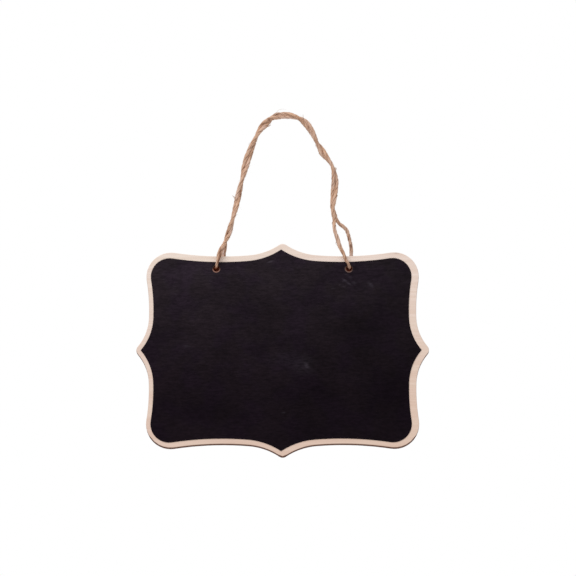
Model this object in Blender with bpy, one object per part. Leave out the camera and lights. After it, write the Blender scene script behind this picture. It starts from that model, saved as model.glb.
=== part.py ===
"""A small hanging chalkboard: a bracket-shaped plywood plaque with a matt black chalk
field, hung by two lengths of jute twine that are twisted together, and that meet in a knot
behind each of the two holes under its top edge.

Metres, +Z up. The board's front faces -Y. The origin is the point that holds it up, in the
middle of the twisted twine at the top of its arch.
"""

import math

import bmesh
import bpy
from mathutils import Matrix, Vector

# Black field: half its size at its four points, and the dip of the edges between them
FIELD_HALF_WIDTH = 0.1152
FIELD_HALF_HEIGHT = 0.0836
DIP_DEPTH = 0.0104
TOP_DIP_SHARE = 0.425  # of the half width, from the middle out to the lowest place
SIDE_DIP_SHARE = 0.39  # of the half height
TOP_LONG_RADIUS = 0.269
SIDE_LONG_RADIUS = 0.164
TOP_TURN = math.radians(4.6)  # slope where the long arc meets the tight arc of the point
SIDE_TURN = math.radians(2.1)
CORNER_RADIUS = 0.0154

# Board
BORDER = 0.0048
BOARD_THICKNESS = 0.005
VENEER = 0.0008
GLUE_LINE = 0.0001
ARRIS = 0.0003
COAT = 0.0002
COAT_SHIFT = -0.0012  # the black field sits a little to the left on the wood

# Holes
HOLE_RADIUS = 0.0025
HOLE_PITCH = 0.109
HOLE_BELOW_EDGE = 0.0101
HOLE_RING = 0.0011  # bare wood left round each hole
CUT_OVERRUN = 0.002

# Twine
TWINE_DIAMETER = 0.0028
LEAST_GAP = 0.0004  # clear space that the two lengths keep between them
PAIR_SPREAD = 0.0037  # between the middles of the two lengths where they are twisted together
TWINE_DROP = 0.1277  # from the hanging point down to the middle of the holes
POINT_SPACING = 0.0082
BEND_STEP = math.radians(20)
UNDER_STRIP = math.radians(90)  # where the front length starts its bend round the strip over a hole
BEND_SLACK = 0.0002  # how much wider it bends than through the middle of the hole
LEAN = 0.0015  # how much further in it is at the strip's front than at the hole

# Knot behind each hole
KNOT_WIDTH = 0.0086
KNOT_DEPTH = 0.0066
KNOT_HEIGHT = 0.0078
KNOT_BEHIND = 0.0004  # clear space from the board's back
KNOT_ABOVE = 0.0014  # from the middle of the hole
KNOT_GAP = 0.0005

# Steps of the curves
TIP_STEPS = 4
CUSP_STEPS = 9
LONG_STEPS = 9
CORNER_STEPS = 12
HOLE_SIDES = 32
SMOOTH_STEPS = 12
PAIR_STEPS = 27
KNOT_SEGMENTS = 20
KNOT_RINGS = 12

# Places worked out from these sizes
HALF_THICKNESS = BOARD_THICKNESS / 2
HALF_PITCH = HOLE_PITCH / 2
HOLE_Z = -TWINE_DROP
BOARD_Z = HOLE_Z - (FIELD_HALF_HEIGHT - DIP_DEPTH + BORDER - HOLE_BELOW_EDGE)
PIVOT_ABOVE_HOLE = (HOLE_BELOW_EDGE + HOLE_RADIUS) / 2  # the middle of the strip over the hole
PIVOT_Z = HOLE_Z + PIVOT_ABOVE_HOLE
ARC_RADIUS = PIVOT_ABOVE_HOLE + BEND_SLACK
KNOT_Y = HALF_THICKNESS + KNOT_BEHIND + KNOT_DEPTH / 2
LEFT_KNOT = Vector((-HALF_PITCH, KNOT_Y, HOLE_Z + KNOT_ABOVE))
RIGHT_KNOT = Vector((HALF_PITCH, KNOT_Y, HOLE_Z + KNOT_ABOVE))
KNOT_HALF_SIZES = Vector((KNOT_WIDTH, KNOT_DEPTH, KNOT_HEIGHT)) / 2

# Sides of a knot where the front and the back length of the twine enter it
FRONT_SIDE_SHARES = Vector((0, -0.97, -0.24))
LEFT_BACK_SIDE_SHARES = Vector((0.55, 0.15, 0.82))
RIGHT_BACK_SIDE_SHARES = Vector((0.15, 0.15, 0.98))

# Colours as a screen shows them: red, green and blue from 0 to 255
WOOD_COLOUR = (232, 214, 200)
CORE_COLOUR = (150, 118, 98)
CHALK_COLOUR = (34, 29, 33)
TWINE_COLOUR = (178, 134, 106)

# Route of the twisted twine, from where the left legs meet to where the right part: x, z and
# the half turns that the two lengths have made about each other so far
PAIR_ROUTE = [
    (-0.0468, -0.1052, 0.00),
    (-0.0437, -0.0970, 0.50),
    (-0.0410, -0.0864, 1.00),
    (-0.0378, -0.0747, 1.35),
    (-0.0358, -0.0641, 1.65),
    (-0.0332, -0.0524, 2.08),
    (-0.0300, -0.0397, 2.45),
    (-0.0259, -0.0259, 2.75),
    (-0.0195, -0.0121, 3.20),
    (-0.0133, -0.0058, 3.70),
    (-0.0070, -0.0016, 4.15),
    (0.0014, 0.0000, 4.50),
    (0.0098, -0.0010, 4.85),
    (0.0171, -0.0043, 5.30),
    (0.0234, -0.0121, 5.70),
    (0.0286, -0.0228, 6.05),
    (0.0338, -0.0323, 6.50),
    (0.0395, -0.0420, 6.95),
    (0.0428, -0.0536, 7.30),
    (0.0424, -0.0641, 7.60),
    (0.0413, -0.0757, 7.92),
    (0.0418, -0.0800, 8.08),
    (0.0432, -0.0861, 8.25),
]

# Legs from each hole up to the twisted twine, x, y and z
LEFT_FRONT_LEG = [
    (-0.0520, -0.0064, -0.1182),
    (-0.0514, -0.0061, -0.1157),
    (-0.0501, -0.0050, -0.1112),
    (-0.0482, -0.0034, -0.1079),
]
LEFT_BACK_LEG = [
    (-0.0496, 0.0071, -0.1200),
    (-0.0481, 0.0066, -0.1163),
    (-0.0477, 0.0056, -0.1128),
    (-0.0472, 0.0035, -0.1086),
]
RIGHT_FRONT_LEG = [
    (0.0503, -0.0063, -0.1166),
    (0.0486, -0.0058, -0.1132),
    (0.0470, -0.0052, -0.1098),
    (0.0450, -0.0043, -0.1029),
    (0.0428, -0.0032, -0.0961),
    (0.0424, -0.0023, -0.0905),
]
RIGHT_BACK_LEG = [
    (0.0561, 0.0070, -0.1195),
    (0.0563, 0.0066, -0.1161),
    (0.0564, 0.0058, -0.1099),
    (0.0553, 0.0048, -0.1040),
    (0.0528, 0.0034, -0.0954),
    (0.0498, 0.0027, -0.0921),
    (0.0468, 0.0021, -0.0900),
]

# Cut ends that hang from the knots, x, y and z
LEFT_LONG_END = [
    (-0.0566, 0.0075, -0.1313),
    (-0.0574, 0.0079, -0.1352),
    (-0.0575, 0.0076, -0.1396),
]
LEFT_SHORT_END = [
    (-0.0523, 0.0079, -0.1312),
    (-0.0515, 0.0086, -0.1342),
    (-0.0512, 0.0086, -0.1366),
]
RIGHT_LONG_END = [
    (0.0525, 0.0078, -0.1313),
    (0.0517, 0.0083, -0.1350),
    (0.0516, 0.0081, -0.1389),
]
RIGHT_SHORT_END = [
    (0.0567, 0.0076, -0.1312),
    (0.0576, 0.0080, -0.1339),
    (0.0578, 0.0079, -0.1360),
]


def clear_scene():
    for obj in list(bpy.data.objects):
        bpy.data.objects.remove(obj, do_unlink=True)


def linear(value):
    """A screen value from 0 to 255 as the share of light that it stands for."""
    share = value / 255
    return share / 12.92 if share <= 0.04045 else ((share + 0.055) / 1.055) ** 2.4


def make_material(name, colour, roughness):
    material = bpy.data.materials.new(name)
    material.use_nodes = True
    shader = material.node_tree.nodes["Principled BSDF"]
    shader.inputs["Base Color"].default_value = (*map(linear, colour), 1)
    shader.inputs["Roughness"].default_value = roughness
    shader.inputs["Metallic"].default_value = 0
    return material


def add_object(name, data, material, parent=None, place=(0, 0, 0)):
    obj = bpy.data.objects.new(name, data)
    bpy.context.collection.objects.link(obj)
    obj.data.materials.append(material)
    obj.parent = parent
    obj.location = place
    return obj


# Outline of the board


class BracketEdge:
    """Half of one edge, from its point to the corner: a tight arc, then a long arc that dips
    and rises again. Its places are (along, out): along the edge, and out from the middle."""

    def __init__(self, tip, length, dip_share, long_radius, turn):
        self.tip = tip
        self.turn = turn
        self.long_radius = long_radius
        self.long_centre = Vector((dip_share * length, tip - DIP_DEPTH + long_radius))
        joint = self.on_arc(self.long_centre, long_radius, turn)
        self.cusp = 2 * math.atan2(tip - joint.y, joint.x) - turn
        self.cusp_radius = joint.x / (math.sin(self.cusp) - math.sin(turn))
        self.cusp_centre = joint + self.cusp_radius * Vector((math.sin(turn), math.cos(turn)))

    @staticmethod
    def on_arc(centre, radius, slope):
        return centre - radius * Vector((math.sin(slope), math.cos(slope)))

    def slope_at_corner(self, corner):
        reach = corner.x - self.long_centre.x
        return -math.asin(reach / (self.long_radius + CORNER_RADIUS))

    def points(self, corner, offset):
        """From the point to just short of the corner, on the line that runs offset outside."""
        found = []
        for i in range(TIP_STEPS if offset > 0 else 0):
            found.append(self.on_arc(Vector((0, self.tip)), -offset, self.cusp * i / TIP_STEPS))
        for i in range(CUSP_STEPS):
            slope = self.cusp + (self.turn - self.cusp) * i / CUSP_STEPS
            found.append(self.on_arc(self.cusp_centre, self.cusp_radius - offset, slope))
        for i in range(LONG_STEPS):
            slope = self.turn + (self.slope_at_corner(corner) - self.turn) * i / LONG_STEPS
            found.append(self.on_arc(self.long_centre, self.long_radius - offset, slope))
        return found


def corner_centre(top, side):
    """Middle of the corner's arc, as (x, z), which touches the long arcs of both edges."""
    first, second = top.long_centre, side.long_centre.yx
    first_reach = top.long_radius + CORNER_RADIUS
    second_reach = side.long_radius + CORNER_RADIUS
    gap = (second - first).length
    unit = (second - first) / gap
    along = (first_reach**2 - second_reach**2 + gap**2) / (2 * gap)
    across = math.sqrt(first_reach**2 - along**2)
    return first + unit * along + Vector((unit.y, -unit.x)) * across


def quarter_outline(offset):
    """(x, z) of the upper right quarter, from the right-hand point round to the top one."""
    top = BracketEdge(FIELD_HALF_HEIGHT, FIELD_HALF_WIDTH, TOP_DIP_SHARE, TOP_LONG_RADIUS, TOP_TURN)
    side = BracketEdge(FIELD_HALF_WIDTH, FIELD_HALF_HEIGHT, SIDE_DIP_SHARE, SIDE_LONG_RADIUS, SIDE_TURN)
    corner = corner_centre(top, side)
    start = side.slope_at_corner(corner.yx)
    finish = math.pi / 2 - top.slope_at_corner(corner)
    found = [place.yx for place in side.points(corner.yx, offset)]
    for i in range(CORNER_STEPS + 1):
        angle = start + (finish - start) * i / CORNER_STEPS
        found.append(corner + (CORNER_RADIUS + offset) * Vector((math.cos(angle), math.sin(angle))))
    return found + top.points(corner, offset)[::-1]


def bracket_outline(offset):
    """(x, z) all round, anticlockwise as the front is seen, on the line offset outside the field."""
    quarter = quarter_outline(offset)
    mirrored = [Vector((-place.x, place.y)) for place in reversed(quarter)]
    half = quarter[:-1] + mirrored[:-1]
    return half + [-place for place in half]


# Board


def plate(name, rings, material, parent, place):
    """A flat piece that follows the board's outline, from its front to its back. Each ring
    is (offset outside the field, depth along y)."""
    bm = bmesh.new()
    loops = []
    for offset, depth in rings:
        loops.append([bm.verts.new((x, depth, z)) for x, z in bracket_outline(offset)])
    for front, back in zip(loops, loops[1:]):
        for i in range(len(front)):
            bm.faces.new((front[i - 1], back[i - 1], back[i], front[i]))
    bm.faces.new(loops[0])
    bm.faces.new(loops[-1][::-1])
    mesh = bpy.data.meshes.new(name)
    bm.to_mesh(mesh)
    bm.free()
    return add_object(name, mesh, material, parent, place)


def make_drill(name, radius, material, parent):
    """A cutter for both holes, which runs right through the board."""
    bm = bmesh.new()
    along_y = Matrix.Rotation(math.pi / 2, 4, "X")
    for x in (-HALF_PITCH, HALF_PITCH):
        bmesh.ops.create_cone(
            bm,
            cap_ends=True,
            segments=HOLE_SIDES,
            radius1=radius,
            radius2=radius,
            depth=BOARD_THICKNESS + 2 * CUT_OVERRUN,
            matrix=Matrix.Translation((x, 0, HOLE_Z - PIVOT_Z)) @ along_y,
        )
    mesh = bpy.data.meshes.new(name)
    bm.to_mesh(mesh)
    bm.free()
    drill = add_object(name, mesh, material, parent)
    drill.hide_render = True
    drill.display_type = "WIRE"
    return drill


def drill_through(piece, drill):
    cut = piece.modifiers.new("holes", "BOOLEAN")
    cut.operation = "DIFFERENCE"
    cut.solver = "EXACT"
    cut.object = drill


def make_board(wood, core_wood, chalk):
    pivot = bpy.data.objects.new("board_pivot", None)
    bpy.context.collection.objects.link(pivot)
    pivot.location = (0, 0, PIVOT_Z)
    place = (0, 0, BOARD_Z - PIVOT_Z)
    drill = make_drill("drill", HOLE_RADIUS, wood, pivot)
    wide_drill = make_drill("wide_drill", HOLE_RADIUS + HOLE_RING, chalk, pivot)
    inner = HALF_THICKNESS - VENEER

    front_rings = [(BORDER - ARRIS, -HALF_THICKNESS), (BORDER, ARRIS - HALF_THICKNESS), (BORDER, -inner)]
    back_rings = [(offset, -depth) for offset, depth in reversed(front_rings)]
    core_face = inner - GLUE_LINE
    core_rings = [(BORDER, -core_face), (BORDER, core_face)]
    drill_through(plate("front_veneer", front_rings, wood, pivot, place), drill)
    drill_through(plate("core_ply", core_rings, core_wood, pivot, place), drill)
    drill_through(plate("back_veneer", back_rings, wood, pivot, place), drill)

    coat_back = -HALF_THICKNESS - GLUE_LINE
    coat_rings = [(0, coat_back - COAT), (0, coat_back)]
    coat_place = (COAT_SHIFT, 0, BOARD_Z - PIVOT_Z)
    drill_through(plate("chalk_coat", coat_rings, chalk, pivot, coat_place), wide_drill)


# Twine


def smooth(points):
    """Points along one smooth curve through the given ones."""
    found = []
    for i in range(len(points) - 1):
        here, there = points[i], points[i + 1]
        before = points[max(i - 1, 0)]
        after = points[min(i + 2, len(points) - 1)]
        span = (there - here).length
        leaving = (there - before) * span / ((there - here).length + (here - before).length)
        arriving = (after - here) * span / ((there - here).length + (after - there).length)
        for step in range(SMOOTH_STEPS):
            t = step / SMOOTH_STEPS
            found.append(
                (1 - t) ** 2 * (1 + 2 * t) * here
                + t**2 * (3 - 2 * t) * there
                + t * (1 - t) ** 2 * leaving
                - t**2 * (1 - t) * arriving
            )
    return found + [points[-1]]


def read_off(points):
    """The points that a tube needs: evenly spaced, and closer where the twine bends."""
    found = [points[0]]
    heading = points[1] - points[0]
    for here, there in zip(points[1:], points[2:]):
        turned = heading.angle(there - here)
        if (here - found[-1]).length >= POINT_SPACING or turned >= BEND_STEP:
            found.append(here)
            heading = there - here
    return found + [points[-1]]


def read_between(points, position):
    """Place and heading on a line of points, where the position counts points and parts of one."""
    first = min(int(position), len(points) - 2)
    here, there = points[first], points[first + 1]
    return here.lerp(there, position - first), (there - here).normalized()


def length_of(points):
    return sum((b - a).length for a, b in zip(points, points[1:]))


def twisted_runs():
    """The front and the back length where they are twisted together, both from left to right,
    with a pair of points at each even share of their twist."""
    middle = smooth([Vector((x, 0, z)) for x, z, _ in PAIR_ROUTE])
    turns = [turned for _, _, turned in PAIR_ROUTE]
    viewer = Vector((0, -1, 0))
    front, back = [], []
    for i in range(PAIR_STEPS + 1):
        turned = turns[-1] * i / PAIR_STEPS
        span = max(k for k in range(len(turns) - 1) if turns[k] <= turned)
        share = (turned - turns[span]) / (turns[span + 1] - turns[span])
        place, course = read_between(middle, (span + share) * SMOOTH_STEPS)
        inside = Vector((course.z, 0, -course.x))
        angle = math.pi * (1 / 2 - turned)
        swing = (inside * math.cos(angle) + viewer * math.sin(angle)) * PAIR_SPREAD / 2
        front.append(place + swing)
        back.append(place - swing)
    return front, back


def gap_between(first, second):
    """Least clear space between two lengths of twine."""
    lines = []
    for points in (first, second):
        fine = []
        for here, there in zip(points, points[1:]):
            fine.extend(here.lerp(there, step / SMOOTH_STEPS) for step in range(SMOOTH_STEPS))
        lines.append(fine)
    least = min((b - a).length for a in lines[0] for b in lines[1])
    return least - TWINE_DIAMETER


def hole_arc(side):
    """Points from under the strip over a hole round to its front, on a circle about the board's
    pivot. The side is -1 at the left hole and 1 at the right one."""
    turn = math.pi - UNDER_STRIP
    steps = round(turn / BEND_STEP)
    found = []
    for i in range(steps + 1):
        share = i / steps
        angle = UNDER_STRIP + turn * share
        x = side * (HALF_PITCH - LEAN * share**2)
        reach = Vector((0, math.cos(angle), -math.sin(angle))) * ARC_RADIUS
        found.append(Vector((x, 0, PIVOT_Z)) + reach)
    return found


def knot_side(knot, side):
    """The point where a piece of twine meets a knot, just clear of its surface."""
    unit = side.normalized()
    squashed = Vector([a / b for a, b in zip(unit, KNOT_HALF_SIZES)])
    return knot + unit * (1 / squashed.length + KNOT_GAP)


def bridge(points, steered_start, steered_end):
    """Tube points along a smooth curve through points. Where an end is steered, its last
    point only steers the curve, which stops one point short of it."""
    curve = smooth(points)
    first = SMOOTH_STEPS if steered_start else 0
    last = len(curve) - (SMOOTH_STEPS if steered_end else 0)
    return read_off(curve[first:last])


def join(left, run, right):
    """One length of twine, from the knot behind the left hole to the knot behind the right one."""
    start = bridge([*left, *run[:2]], False, True)
    finish = bridge([*run[-2:], *right], True, False)
    return [*start, *run[1:-1], *finish]


def twine_lengths():
    """The points of the front length and of the back one."""
    front, back = twisted_runs()
    left_front, left_back, right_front, right_back = (
        [Vector(place) for place in leg]
        for leg in (LEFT_FRONT_LEG, LEFT_BACK_LEG, RIGHT_FRONT_LEG, RIGHT_BACK_LEG)
    )
    left = [knot_side(LEFT_KNOT, FRONT_SIDE_SHARES), *hole_arc(-1), *left_front]
    right = [knot_side(RIGHT_KNOT, FRONT_SIDE_SHARES), *hole_arc(1), *right_front]
    left_rear = [knot_side(LEFT_KNOT, LEFT_BACK_SIDE_SHARES), *left_back]
    right_rear = [knot_side(RIGHT_KNOT, RIGHT_BACK_SIDE_SHARES), *right_back]
    return join(left, front, right[::-1]), join(left_rear, back, right_rear[::-1])


def tube(name, points, material):
    curve = bpy.data.curves.new(name, "CURVE")
    curve.dimensions = "3D"
    curve.bevel_depth = TWINE_DIAMETER / 2
    curve.bevel_resolution = 2
    curve.use_fill_caps = True
    spline = curve.splines.new("POLY")
    spline.points.add(len(points) - 1)
    for point, place in zip(spline.points, points):
        point.co = (*place, 1)
    spline.use_smooth = True
    return add_object(name, curve, material)


def make_knot(name, place, material):
    bm = bmesh.new()
    bmesh.ops.create_uvsphere(bm, u_segments=KNOT_SEGMENTS, v_segments=KNOT_RINGS, radius=1)
    bmesh.ops.scale(bm, vec=KNOT_HALF_SIZES, verts=bm.verts)
    mesh = bpy.data.meshes.new(name)
    bm.to_mesh(mesh)
    bm.free()
    mesh.shade_smooth()
    add_object(name, mesh, material, place=place)


def make_twine(material):
    lengths = twine_lengths()
    for name, points in zip(("twine_front", "twine_back"), lengths):
        print(f"{name}: {length_of(points):.4f} m long, {len(points)} points")
        tube(name, points, material)
    gap = gap_between(*lengths)
    print(f"twine: gap between its lengths {gap:.5f} m")
    if gap < LEAST_GAP:
        print("twine: its two lengths come too close")
    for side, knot, long_end, short_end in (
        ("left", LEFT_KNOT, LEFT_LONG_END, LEFT_SHORT_END),
        ("right", RIGHT_KNOT, RIGHT_LONG_END, RIGHT_SHORT_END),
    ):
        make_knot(f"{side}_knot", knot, material)
        for name, route in ((f"{side}_end_long", long_end), (f"{side}_end_short", short_end)):
            start = knot_side(knot, Vector(route[0]) - knot)
            tube(name, read_off(smooth([start, *map(Vector, route)])), material)


def main():
    clear_scene()
    wood = make_material("pale_wood", WOOD_COLOUR, roughness=0.6)
    core_wood = make_material("core_wood", CORE_COLOUR, roughness=0.7)
    chalk = make_material("chalk_black", CHALK_COLOUR, roughness=0.75)
    jute = make_material("jute", TWINE_COLOUR, roughness=0.9)
    make_board(wood, core_wood, chalk)
    make_twine(jute)


main()
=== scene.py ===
"""The looks of a small hanging chalkboard: pale plywood with a matt black chalk field, and
the two lengths of jute twine that it hangs by, twisted together and knotted behind its holes.

Metres, +Z up. The board's front faces -Y. The origin is the top of the twine's arch.
"""

import math

import bpy
import numpy as np
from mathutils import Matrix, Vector, noise


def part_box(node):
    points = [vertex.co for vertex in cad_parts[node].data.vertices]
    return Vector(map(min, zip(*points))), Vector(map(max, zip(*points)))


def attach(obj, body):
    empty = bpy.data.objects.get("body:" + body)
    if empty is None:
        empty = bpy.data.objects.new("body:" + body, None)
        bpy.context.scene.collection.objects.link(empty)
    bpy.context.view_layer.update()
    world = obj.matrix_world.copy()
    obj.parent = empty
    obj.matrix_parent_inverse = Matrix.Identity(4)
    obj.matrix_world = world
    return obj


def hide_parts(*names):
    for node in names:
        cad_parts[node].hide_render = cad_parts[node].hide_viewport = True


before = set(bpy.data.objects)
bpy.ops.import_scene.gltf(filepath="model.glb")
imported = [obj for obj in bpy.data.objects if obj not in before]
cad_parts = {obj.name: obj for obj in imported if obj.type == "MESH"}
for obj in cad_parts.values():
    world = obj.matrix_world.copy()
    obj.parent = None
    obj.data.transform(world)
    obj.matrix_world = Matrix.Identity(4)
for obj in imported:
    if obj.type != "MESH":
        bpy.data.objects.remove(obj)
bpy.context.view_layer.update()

# Camera
CAMERA_DISTANCE = 6.0
CAMERA_AZIMUTH = math.radians(0.5)
CAMERA_ELEVATION = math.radians(-9)
VIEW_WIDTH = 0.4732  # what the picture takes in at the board
VIEW_MIDDLE = Vector((0.0044, 0, -0.1436))
SENSOR_WIDTH = 36
FARTHEST_SEEN = 100

# Light and floor
AMBIENT = 0.62
KEY_PLACE = Vector((-1.2, -1.7, 2.5))
KEY_SIZE = 2.4
KEY_POWER = 66
FLOOR_Z = -1.6
FLOOR_HALF = 15
FLOOR_TONE = 0.93

# Holes, the strip of wood over each and the twine round it. Where the two sides differ, -1 is
# the left hole and 1 the right one
HALF_PITCH = 0.0545
HOLE_Z = -0.1277
HOLE_RADIUS = 0.0025
PIVOT_Z = -0.1214  # the middle of the strip, about which the board swings
ARC_RADIUS = 0.0060
ARC_STEPS = 4
SPLAY = 0.0004  # how far outside the hole's middle the twine goes through it
LEANS = {-1: 0.0018, 1: 0.0029}  # how far inward it comes on its way to the strip's front
LEAN_POWERS = {-1: 1.7, 1: 2.8}  # the higher, the later it does so
BEND_THICKNESS = 0.84  # of the twine where it bends round the wood, as a share
BESIDE_BOARD_Z = -0.1110  # below this the twine lies beside the board

# Painted shade on the twine in a hole and on the knot behind it
HOLE_SHADE_DEPTHS = {-1: (-0.0054, -0.0032), 1: (-0.0040, -0.0014)}  # y where it starts and is full
HOLE_SHADE_REACHES = (0.0026, 0.0036)  # how far from the hole's middle it is full, and has ended
HOLE_SHADE_END = 0.0055  # the y behind which there is none

# Twine
TWINE_DIAMETER = 0.0028
FRONT_LENGTH = 0.315
BACK_LENGTH = 0.292
RING_SPACING = 0.00045
RING_SIDES = 24
PLY_PITCH = 0.0165  # along the twine, for one full turn of its two plies
PLY_OFFSET = 0.00060  # from the twine's middle to a ply's
PLY_ACROSS = 0.00084  # half the width of a ply, away from the twine's middle
PLY_ALONG = 0.00128  # half its width the other way, where the two press together
TIP_SHARE = 0.55  # thickness at a cut tip, as a share
TIP_GROWTH = 0.45  # what it gains over the first diameter
SMOOTH_STEPS = 12
PAIR_SPACING = 0.0035

# Unevenness along a strand: how much, over what length it changes, and its kind
TURN_SLACK = (0.35, 0.017, 5.1)
SWELLING = (0.10, 0.009, 0)
LUMPS = (0.08, 0.003, 2)
FULLER_PLY = (0.07, 0.013, 9)

# Ridges of fibre on a strand: their height, and for broad and narrow ones how close they are
# round it and how long along it
RIDGE_HEIGHT = 0.000055
BROAD_RIDGES = (5.5, 0.0065)
NARROW_RIDGES = (12, 0.0040)
NARROW_SHARE = 0.6

# What makes the unevenness of each strand its own
SEEDS = {
    "left_knot_wrap": 4.4,
    "left_knot_through": 5.4,
    "right_knot_wrap": 8.3,
    "right_knot_through": 9.3,
    "front_twine": 1.7,
    "back_twine": 23.2,
}

# Knot behind each hole
KNOT_Y = 0.0062
KNOT_Z = -0.1263
LEFT_KNOT = Vector((-HALF_PITCH, KNOT_Y, KNOT_Z))
RIGHT_KNOT = Vector((HALF_PITCH, KNOT_Y, KNOT_Z))
KNOT_HALF_SIZES = Vector((0.0043, 0.0033, 0.0039))
FRONT_SIDE = Vector((0, -0.97, -0.24))
LEFT_BACK_SIDE = Vector((0.55, 0.15, 0.82))
RIGHT_BACK_SIDE = Vector((0.15, 0.15, 0.98))
WRAP_TURNS = 2.1
WRAP_STEPS = 24
WRAP_INSET = 0.46  # of its middle from the knot's surface, in diameters
WRAP_TOP = 0.8  # where it starts, as a share of the knot's half height
WRAP_FALL = 1.5
WRAP_TILT = 0.22
WRAP_THICKNESS = 0.86
THROUGH_MIDDLE = Vector((0, 0.0004, 0.0005))
THROUGH_THICKNESS = 0.9

# Route of the twisted twine, from where the left legs meet to where the right part: x, z,
# half turns of the two lengths about each other so far, their spread and their thickness
PAIR_ROUTE = [
    (-0.0472, -0.1052, 0.00, 0.0026, 1.00),
    (-0.0441, -0.0970, 0.50, 0.0021, 0.94),
    (-0.0412, -0.0866, 1.00, 0.0024, 1.00),
    (-0.0382, -0.0747, 1.35, 0.0021, 0.98),
    (-0.0359, -0.0640, 1.65, 0.0021, 0.99),
    (-0.0332, -0.0524, 2.08, 0.0024, 1.04),
    (-0.0300, -0.0397, 2.45, 0.0030, 1.12),
    (-0.0254, -0.0258, 2.75, 0.0027, 1.08),
    (-0.0191, -0.0124, 3.20, 0.0026, 1.08),
    (-0.0133, -0.0056, 3.66, 0.0029, 1.10),
    (-0.0072, -0.0009, 4.22, 0.0030, 1.14),
    (0.0014, 0.0005, 4.50, 0.0027, 1.00),
    (0.0098, -0.0006, 4.85, 0.0026, 0.98),
    (0.0171, -0.0043, 5.30, 0.0028, 1.04),
    (0.0234, -0.0121, 5.70, 0.0027, 1.04),
    (0.0286, -0.0228, 6.05, 0.0024, 1.00),
    (0.0338, -0.0318, 6.58, 0.0028, 1.04),
    (0.0374, -0.0364, 6.86, 0.0021, 0.95),
    (0.0410, -0.0422, 7.04, 0.0020, 0.92),
    (0.0430, -0.0532, 7.32, 0.0029, 1.08),
    (0.0424, -0.0641, 7.60, 0.0027, 1.06),
    (0.0412, -0.0757, 7.92, 0.0028, 1.10),
    (0.0417, -0.0800, 8.08, 0.0027, 1.08),
    (0.0432, -0.0861, 8.25, 0.0024, 0.96),
]

# Legs from each hole up to the twisted twine: x, y, z and thickness
LEFT_FRONT_LEG = [
    (-0.0523, -0.0057, -0.1182, 1.44),
    (-0.0516, -0.0057, -0.1157, 1.46),
    (-0.0500, -0.0047, -0.1112, 1.30),
    (-0.0481, -0.0033, -0.1079, 1.08),
]
LEFT_BACK_LEG = [
    (-0.0500, 0.0070, -0.1200, 1.06),
    (-0.0488, 0.0069, -0.1163, 1.26),
    (-0.0483, 0.0058, -0.1128, 1.24),
    (-0.0474, 0.0035, -0.1086, 1.06),
]
RIGHT_FRONT_LEG = [
    (0.0503, -0.0054, -0.1166, 1.06),
    (0.0486, -0.0051, -0.1132, 1.10),
    (0.0470, -0.0048, -0.1098, 1.12),
    (0.0450, -0.0041, -0.1029, 1.12),
    (0.0428, -0.0032, -0.0961, 1.00),
    (0.0424, -0.0023, -0.0905, 1.00),
]
RIGHT_BACK_LEG = [
    (0.0561, 0.0068, -0.1195, 1.00),
    (0.0563, 0.0065, -0.1161, 1.10),
    (0.0564, 0.0058, -0.1099, 1.00),
    (0.0553, 0.0048, -0.1040, 1.00),
    (0.0528, 0.0034, -0.0954, 0.96),
    (0.0498, 0.0027, -0.0921, 1.06),
    (0.0468, 0.0021, -0.0900, 0.98),
]

# Cut ends that hang from the knots, x, y and z
LEFT_LONG_END = [
    (-0.0566, 0.0075, -0.1313),
    (-0.0574, 0.0079, -0.1352),
    (-0.0575, 0.0076, -0.1396),
]
LEFT_SHORT_END = [
    (-0.0523, 0.0079, -0.1312),
    (-0.0515, 0.0086, -0.1342),
    (-0.0512, 0.0086, -0.1366),
]
RIGHT_LONG_END = [
    (0.0525, 0.0078, -0.1313),
    (0.0517, 0.0083, -0.1350),
    (0.0516, 0.0081, -0.1389),
]
RIGHT_SHORT_END = [
    (0.0567, 0.0076, -0.1312),
    (0.0576, 0.0080, -0.1339),
    (0.0578, 0.0079, -0.1360),
]

# Streaks on each length, paler or browner, partly the fibres' own tone and partly painted highlight
# and painted shade: x and z of the middle, half width, half height and share, above zero for paler
# and below it for browner
FRONT_STREAKS = [
    (-0.0553, -0.1236, 0.0010, 0.0016, 0.60),
    (-0.0525, -0.1238, 0.0012, 0.0030, -0.95),
    (-0.0523, -0.1193, 0.0010, 0.0036, -0.42),
    (-0.0512, -0.1130, 0.0009, 0.0070, -0.60),
    (-0.0511, -0.1165, 0.0007, 0.0036, -0.50),
    (-0.0534, -0.1150, 0.0007, 0.0060, 0.25),
    (-0.0424, -0.0969, 0.0012, 0.0060, 0.50),
    (-0.0376, -0.0670, 0.0012, 0.0070, 0.35),
    (-0.0309, -0.0512, 0.0012, 0.0032, -0.50),
    (-0.0258, -0.0350, 0.0009, 0.0056, -0.50),
    (-0.0285, -0.0390, 0.0008, 0.0060, 0.40),
    (-0.0170, -0.0070, 0.0030, 0.0030, -0.50),
    (-0.0110, -0.0034, 0.0015, 0.0015, -0.85),
    (0.0030, -0.0024, 0.0085, 0.0020, 0.60),
    (0.0150, -0.0050, 0.0034, 0.0034, -0.45),
    (0.0195, -0.0085, 0.0030, 0.0030, 0.15),
    (0.0278, -0.0226, 0.0022, 0.0034, -0.50),
    (0.0296, -0.0236, 0.0010, 0.0020, 0.55),
    (0.0433, -0.0562, 0.0008, 0.0064, -0.50),
    (0.0448, -0.0580, 0.0006, 0.0064, 0.50),
    (0.0413, -0.0740, 0.0014, 0.0050, -0.25),
    (0.0437, -0.0940, 0.0020, 0.0036, 0.30),
    (0.0430, -0.1010, 0.0009, 0.0034, -0.55),
    (0.0462, -0.1076, 0.0020, 0.0030, 0.25),
    (0.0490, -0.1146, 0.0010, 0.0030, -0.50),
    (0.0516, -0.1204, 0.0026, 0.0034, -0.42),
    (0.0536, -0.1250, 0.0020, 0.0022, -0.45),
]
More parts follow.
